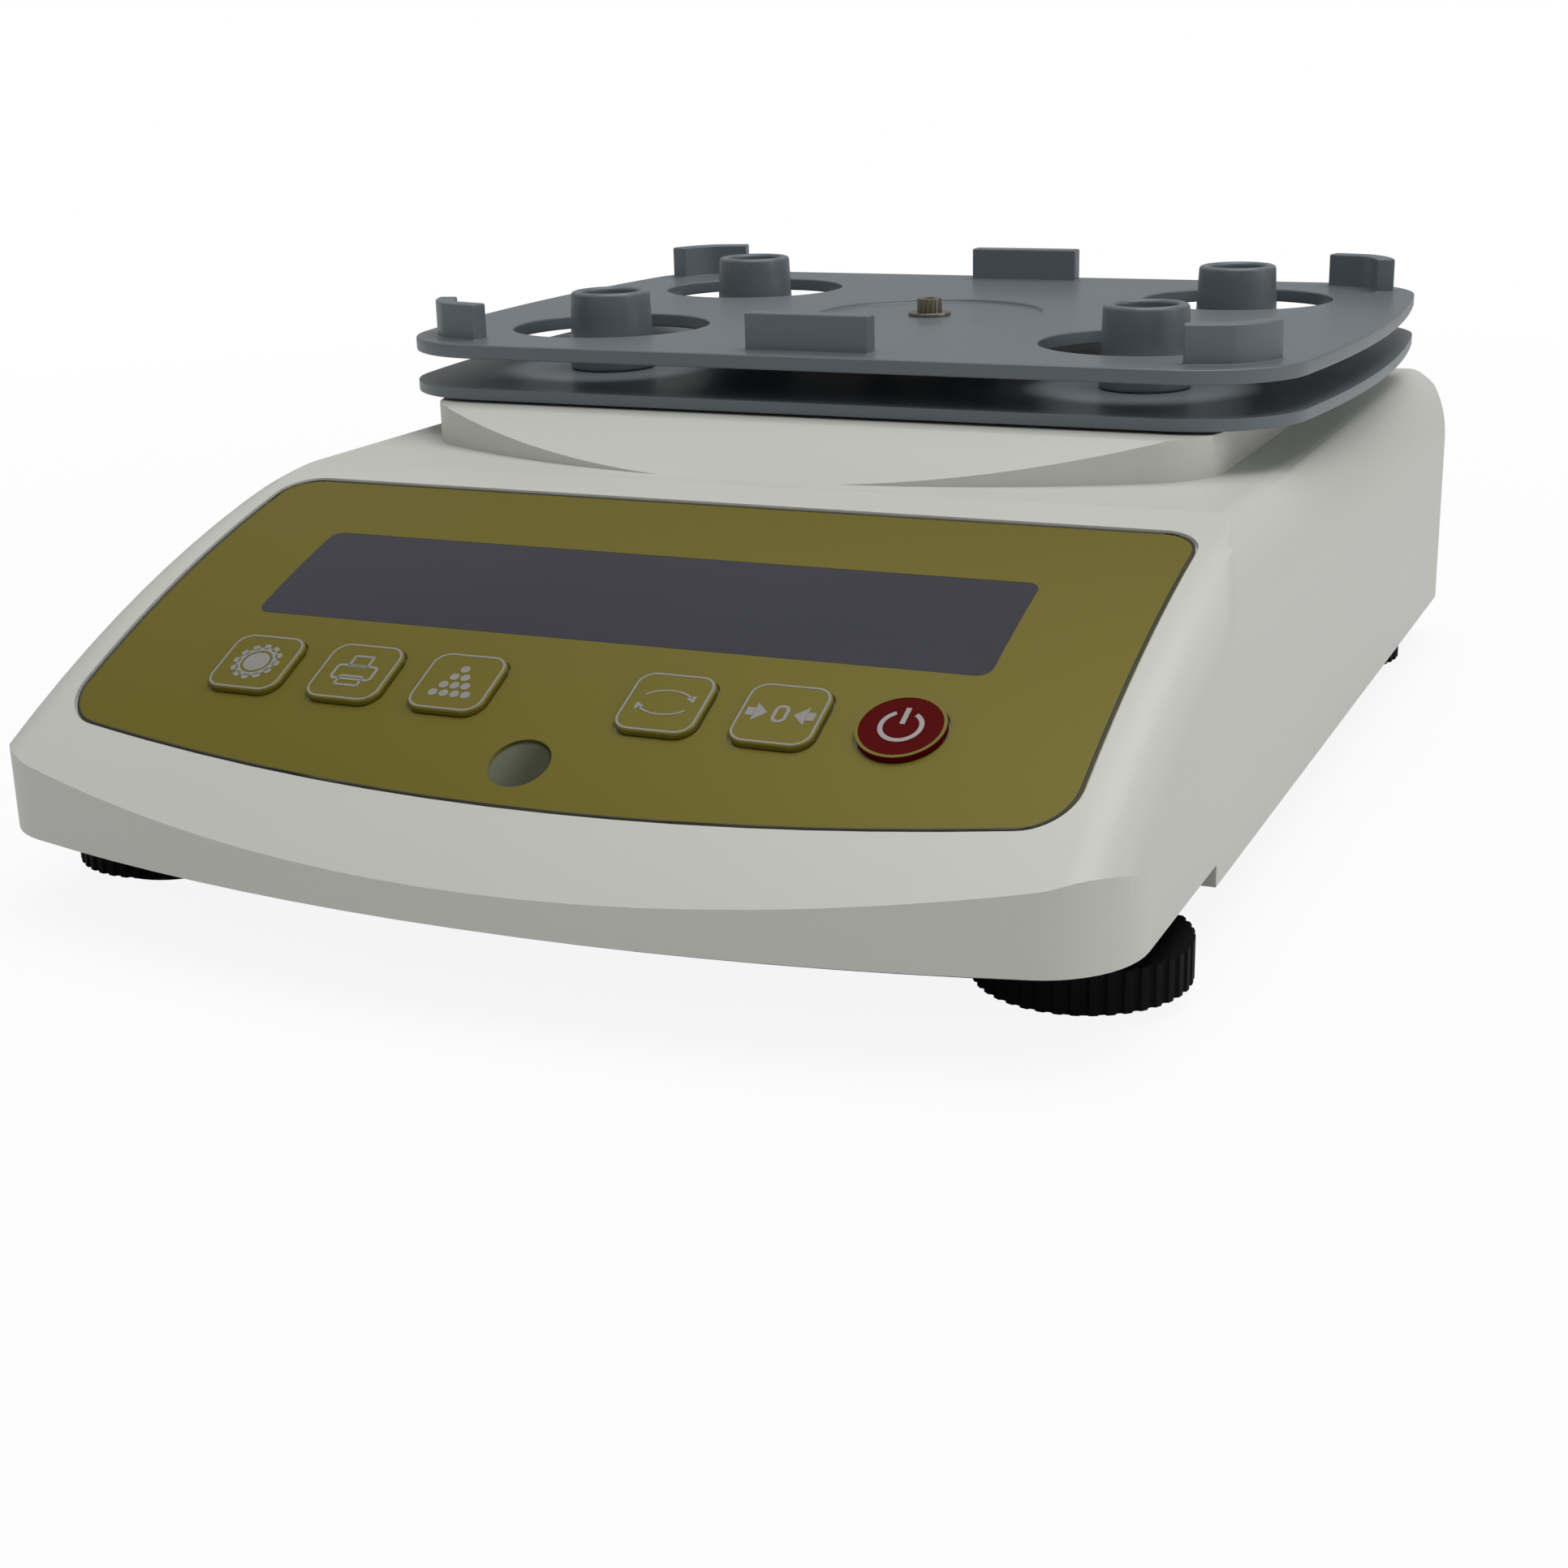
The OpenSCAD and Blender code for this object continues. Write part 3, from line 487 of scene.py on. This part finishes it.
def arc(radius, line, start, end):
    """Part of a ring, from angle start to angle end."""
    piece = hollow(disc(0, 0, radius, 72), line)
    for face in piece.data.polygons:
        angle = math.degrees(math.atan2(face.center.y, face.center.x)) % 360
        face.select = not (start <= angle <= end or start <= angle + 360 <= end)
    in_edit(piece, drop_faces, everything=False)
    return piece


def triangle(x, y, radius, turn):
    return disc(x, y, radius, 3, turn)


def polar(radius, angle):
    return radius * math.cos(math.radians(angle)), radius * math.sin(math.radians(angle))


def gear():
    teeth = [round_bar(*polar(4.0, angle), 1.3, 1.3, 0.35, angle) for angle in range(0, 360, 30)]
    return [hollow(disc(0, 0, 3.8), 0.85), disc(0, 0, 2.45)] + teeth


def printer():
    paper = hollow(round_bar(0, 2.6, 4.2, 3.2, 0.2), 0.5)
    case = hollow(round_bar(0, -0.3, 8.4, 4.0, 1.0), 0.55)
    return [paper, case, hollow(round_bar(0, -2.4, 5.0, 2.8, 0.2), 0.5)]


def pyramid():
    step = 2.1
    return [disc(step * (i - row / 2), 3.2 - step * row, 0.87, 20)
            for row in range(4) for i in range(row + 1)]


def cycle():
    ring = [flatten(arc(5.0, 0.5, start, start + 120), 1, 0.62) for start in (30, 210)]
    return ring + [triangle(4.3, 1.35, 1.05, -30), triangle(-4.3, -1.35, 1.05, 150)]


def null():
    oval = hollow(round_bar(0, 0, 2.6, 4.2, 1.25), 0.6)
    heads = [flatten(triangle(6.3 * way, 0, 2.5, 60 + 30 * way), 0.6, 1) for way in (-1, 1)]
    return [oval, bar(-5.2, 0, 1.5, 1.9), bar(5.2, 0, 1.5, 1.9)] + heads


def power():
    return [arc(3.7, 0.8, 118, 422), bar(0, 2.4, 0.85, 3.8)]


def print_on_key(key, name, parts, ink_or_shade):
    """Prints a drawing on a key's cap, so that it moves with the key."""
    film = join(parts, name)
    thicken(film, INK_AND_SHADE_T)
    seat(film, on_deck(KEY_ANGLE, KEY_X[key], KEY_RISE))
    paint(film, ink_or_shade)
    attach(film, "key_" + key)


# ---- contacts of the serial socket, drawn facing up ----

def port_insulator():
    block = bar(0, 0, BLOCK_WIDE, BLOCK_HIGH)
    block.name = "port_insulator"
    for corner in block.data.vertices:
        if corner.co.y > 0:
            corner.co.x *= BLOCK_TAPER
    thicken(block, BLOCK_DEEP * MM)
    return block


def pin(x, y):
    bpy.ops.mesh.primitive_cylinder_add(vertices=16, radius=PIN_R * MM, depth=PIN_LONG * MM,
                                        location=(x * MM, y * MM, PIN_MIDDLE * MM))
    return settle(bpy.context.object)


def port_pins():
    lower = [pin(PIN_PITCH * (i - 2), -PIN_ROW) for i in range(5)]
    upper = [pin(PIN_PITCH * (i - 1.5), PIN_ROW) for i in range(4)]
    return join(lower + upper, "port_pins")


# ---- the object ----

for node, piece in NODES.items():
    paint(piece, SLOT_OF[node])
for node, width in ROUNDED.items():
    soften(node, width * MM, segments=3 if node == "top_cover" else 2)
# A dark line of painted shadow round the overlay, for the shade in the recess it lies in
painted_shadow_line("keypad_overlay", FILM_LINE, "overlay_painted_shadow", "painted_shadow_dark")
follow_deck("keypad_overlay")
follow_deck("display_window")

SQUARE_KEYS = {"set": gear, "print": printer, "enter": pyramid, "mode": cycle, "zero": null}
for key, draw in SQUARE_KEYS.items():
    symbol = draw()
    outline = hollow(round_bar(0, 0, OUTLINE_WIDE, OUTLINE_WIDE, OUTLINE_CORNER), OUTLINE_LINE)
    print_on_key(key, "symbol_" + key, symbol + [outline], "silver_ink")
print_on_key("power", "symbol_power", power(), "white_ink")
print_on_key("power", "power_rim", [hollow(disc(0, 0, KEY_WIDE / 2, 64), RIM_LINE)], "key_film")

facing_rear = Matrix.Translation(PORT_FLOOR) @ Matrix.Rotation(math.radians(-90), 4, "X")
for piece, width, finish in ((port_insulator(), 0.3, "tray"), (port_pins(), 0.2, "contact")):
    round_edges(piece, width * MM, 2, BLOCK_EDGE_FROM, BLOCK_SMOOTH_BELOW)
    seat(piece, facing_rear)
    paint(piece, finish)
    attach(piece, BODY_OF["serial_port"])

# ---- floor and backdrop: both plain white to the camera, the floor with a soft shadow ----

WHITE = rgb(1, 1, 1)
PALE, PALER = rgb(0.84, 0.84, 0.84), rgb(0.86, 0.86, 0.86)
FLOOR_WIDE, FLOOR_DROP = 120, 0.0005
SHADE_FROM, SHADE_TO = 0.12, 0.75       # the floor turns wholly white between these distances
SHADED_WHITE = 0.9                      # how white it is to the camera nearer than that
WORLD_LIGHT = 0.33

bpy.ops.mesh.primitive_plane_add(size=FLOOR_WIDE, location=(0, 0, -FLOOR_DROP))
floor = bpy.context.object
floor.name = "floor"
ground = Finish("floor_pale", Roughness=0.9)
ground.feed("Base Color", ground.blend(ground.noise(3.0), PALE, PALER))
seen = ground.add("ShaderNodeLightPath", out="Is Camera Ray")
reach = ground.add("ShaderNodeVectorMath", {"operation": "LENGTH"}, {0: ground.place()},
                   out="Value")
white_share = ground.add("ShaderNodeMapRange", None, {
    "Value": reach, "From Min": SHADE_FROM, "From Max": SHADE_TO,
    "To Min": SHADED_WHITE, "To Max": 1.0})
glow = ground.add("ShaderNodeEmission", None, {"Color": WHITE, "Strength": 1.0})
plain = Wire(ground, ground.shader.outputs[0])
surface = ground.add("ShaderNodeMixShader", None, {0: seen * white_share, 1: plain, 2: glow})
ground.fill(ground.tree.nodes["Material Output"], {"Surface": surface})
floor.data.materials.append(ground.material)

world = bpy.data.worlds.new("studio")
bpy.context.scene.world = world
world.use_nodes = True
sky = Sheet(world.node_tree)
even = sky.tree.nodes["Background"]
sky.fill(even, {"Color": WHITE, "Strength": WORLD_LIGHT})
backdrop = sky.add("ShaderNodeBackground", None, {"Color": WHITE, "Strength": 1.0})
direct = sky.add("ShaderNodeLightPath", out="Is Camera Ray")
through = sky.add("ShaderNodeLightPath", out="Is Transmission Ray")
either = sky.add("ShaderNodeMath", {"operation": "MAXIMUM"}, {0: direct, 1: through})
around = sky.add("ShaderNodeMixShader", None, {
    0: either, 1: Wire(sky, even.outputs[0]), 2: backdrop})
sky.fill(sky.tree.nodes["World Output"], {"Surface": around})

# ---- lamps: place, width in metres and watts, all turned to one point ----

LAMP_AIM = Vector((0, 0, 0.05))
LAMPS = {"top_light": ((0.2, 0.1, 1.5), 1.3, 15.5), "side_light": ((1.7, 0.1, 0.7), 1.1, 4.2)}
for name, (place, size, watts) in LAMPS.items():
    bpy.ops.object.light_add(type="AREA", location=place)
    lamp = bpy.context.object
    lamp.name = name
    lamp.data.size = size
    lamp.data.energy = watts
    lamp.rotation_euler = (LAMP_AIM - Vector(place)).to_track_quat("-Z", "Y").to_euler()

# ---- the photograph's view: azimuth, elevation and roll of the camera, and its place ----

VIEW_ANGLES = (24.32, 17.84, -1.46)
EYE = (0.1884, -0.4394, 0.1466)
LENS, SENSOR, NEAREST = 54.49, 36, 0.01

az, el, roll = (math.radians(angle) for angle in VIEW_ANGLES)
back = Vector((math.sin(az) * math.cos(el), -math.cos(az) * math.cos(el), math.sin(el)))
right = Vector((0, 0, 1)).cross(back).normalized()
up = back.cross(right)
right, up = (math.cos(roll) * right + math.sin(roll) * up,
             math.cos(roll) * up - math.sin(roll) * right)
camera_data = bpy.data.cameras.new("camera")
camera_data.lens = LENS
camera_data.sensor_width = SENSOR
camera_data.clip_start = NEAREST
camera = bpy.data.objects.new("camera", camera_data)
bpy.context.collection.objects.link(camera)
camera.matrix_world = Matrix.Translation(EYE) @ Matrix((right, up, back)).transposed().to_4x4()
bpy.context.scene.camera = camera
bpy.context.scene.view_settings.view_transform = "Standard"
